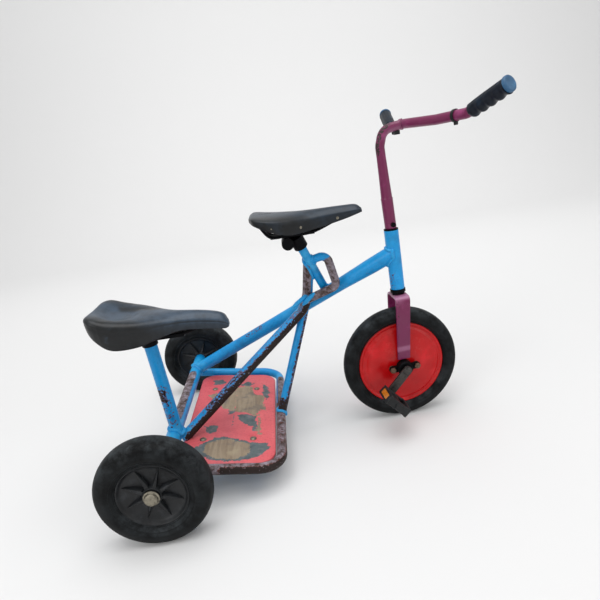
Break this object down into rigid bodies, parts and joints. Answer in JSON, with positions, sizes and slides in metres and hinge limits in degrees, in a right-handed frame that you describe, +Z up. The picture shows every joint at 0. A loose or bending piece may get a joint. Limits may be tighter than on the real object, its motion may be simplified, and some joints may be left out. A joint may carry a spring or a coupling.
{
  "type": "tandem child's tricycle",
  "caption": "Welded tube tricycle with a direct-drive front wheel on a steering fork, two saddles, a footboard between the rear wheels and a hand loop for the passenger",
  "frame": {"origin": "on the floor, at the bottom centre of the bounding box, between the wheels", "axes": "+X forwards, +Y to the rider's left, +Z up; the rear axle lies along Y 0.288 m behind the origin"},
  "size_m": [0.7759, 0.622, 0.6767],
  "materials": {
    "frame_paint": "gloss enamel, scratched and chipped to primer",
    "board_paint": "painted board, worn through in patches",
    "zinc_steel": "dull zinc plate, tarnished",
    "tyre_rubber": "matt, dusty",
    "rim_plastic": "satin moulded plastic",
    "black_metal": "black paint, rubbed",
    "fork_paint": "gloss enamel, scratched at the stem",
    "grip_rubber": "satin rubber",
    "black_plastic": "matt moulded plastic",
    "disc_plastic": "gloss moulded plastic",
    "amber_plastic": "clear gloss, prismatic",
    "saddle_shell": "grained semi-gloss shell",
    "saddle_vinyl": "grained imitation leather over padding"
  },
  "bodies": {
    "frame": {"head_tube": "frame_paint", "rear_axle_tube": "frame_paint", "main_tube": "frame_paint", "right_stay": "frame_paint", "seat_tube": "frame_paint", "hand_loop": "frame_paint", "riser_tube": "frame_paint", "platform_rail": "frame_paint", "rear_seat_post": "frame_paint", "platform_board": "board_paint", "rear_board_strap": "frame_paint", "front_board_strap": "frame_paint", "rear_left_board_bolt": "zinc_steel", "rear_right_board_bolt": "zinc_steel", "front_left_board_bolt": "zinc_steel", "front_right_board_bolt": "zinc_steel", "rear_axle_rod": "zinc_steel", "left_washer": "zinc_steel", "left_axle_cap": "zinc_steel", "right_washer": "zinc_steel", "right_axle_cap": "zinc_steel", "upper_head_bearing": "black_metal", "lower_head_bearing": "black_metal", "rear_saddle_cover": "saddle_vinyl", "rear_saddle_frame": "black_metal", "rear_saddle_clamp": "black_metal", "front_saddle_cover": "saddle_shell", "front_saddle_frame": "black_metal", "front_saddle_clamp": "black_metal"},
    "left_rear_wheel": {"left_tyre": "tyre_rubber", "left_rim": "rim_plastic"},
    "right_rear_wheel": {"right_tyre": "tyre_rubber", "right_rim": "rim_plastic"},
    "fork": {"fork": "fork_paint", "steerer": "fork_paint", "handlebar": "fork_paint", "stem_bolt": "zinc_steel", "left_grip": "grip_rubber", "right_grip": "grip_rubber", "left_clip_ring": "black_plastic", "right_clip_ring": "black_plastic", "left_axle_bearing": "black_plastic", "right_axle_bearing": "black_plastic", "left_front_bearing_bolt": "zinc_steel", "left_rear_bearing_bolt": "zinc_steel", "right_front_bearing_bolt": "zinc_steel", "right_rear_bearing_bolt": "zinc_steel"},
    "front_wheel": {"front_tyre": "tyre_rubber", "left_wheel_disc": "disc_plastic", "right_wheel_disc": "disc_plastic", "crank_axle": "zinc_steel", "left_crank": "black_metal", "right_crank": "black_metal", "left_pedal_spindle": "black_metal", "right_pedal_spindle": "black_metal"},
    "left_pedal": {"left_pedal": "black_plastic", "left_pedal_reflector": "amber_plastic"},
    "right_pedal": {"right_pedal": "black_plastic", "right_pedal_reflector": "amber_plastic"}
  },
  "joints": [
    {"name": "steering", "type": "hinge", "parent": "frame", "child": "fork", "pos_m": [0.2195, 0, 0.3003], "axis": [-0.027, 0, 0.9996], "range_deg": [-63.4, 56.6]},
    {"name": "front_wheel_spin", "type": "hinge", "parent": "fork", "child": "front_wheel", "pos_m": [0.21002, -0.00084, 0.1286], "axis": [-0.0593, 0.9982, -0.0016], "continuous": true},
    {"name": "left_pedal_spin", "type": "hinge", "parent": "front_wheel", "child": "left_pedal", "pos_m": [0.25259, 0.00176, 0.17361], "axis": [-0.0593, 0.9982, -0.0016], "continuous": true},
    {"name": "right_pedal_spin", "type": "hinge", "parent": "front_wheel", "child": "right_pedal", "pos_m": [0.16746, -0.00344, 0.08359], "axis": [-0.0593, 0.9982, -0.0016], "continuous": true},
    {"name": "left_rear_wheel_spin", "type": "hinge", "parent": "frame", "child": "left_rear_wheel", "pos_m": [-0.288, 0.2805, 0.1], "axis": [0, 1, 0], "continuous": true},
    {"name": "right_rear_wheel_spin", "type": "hinge", "parent": "frame", "child": "right_rear_wheel", "pos_m": [-0.288, -0.2805, 0.1], "axis": [0, 1, 0], "continuous": true}
  ]
}
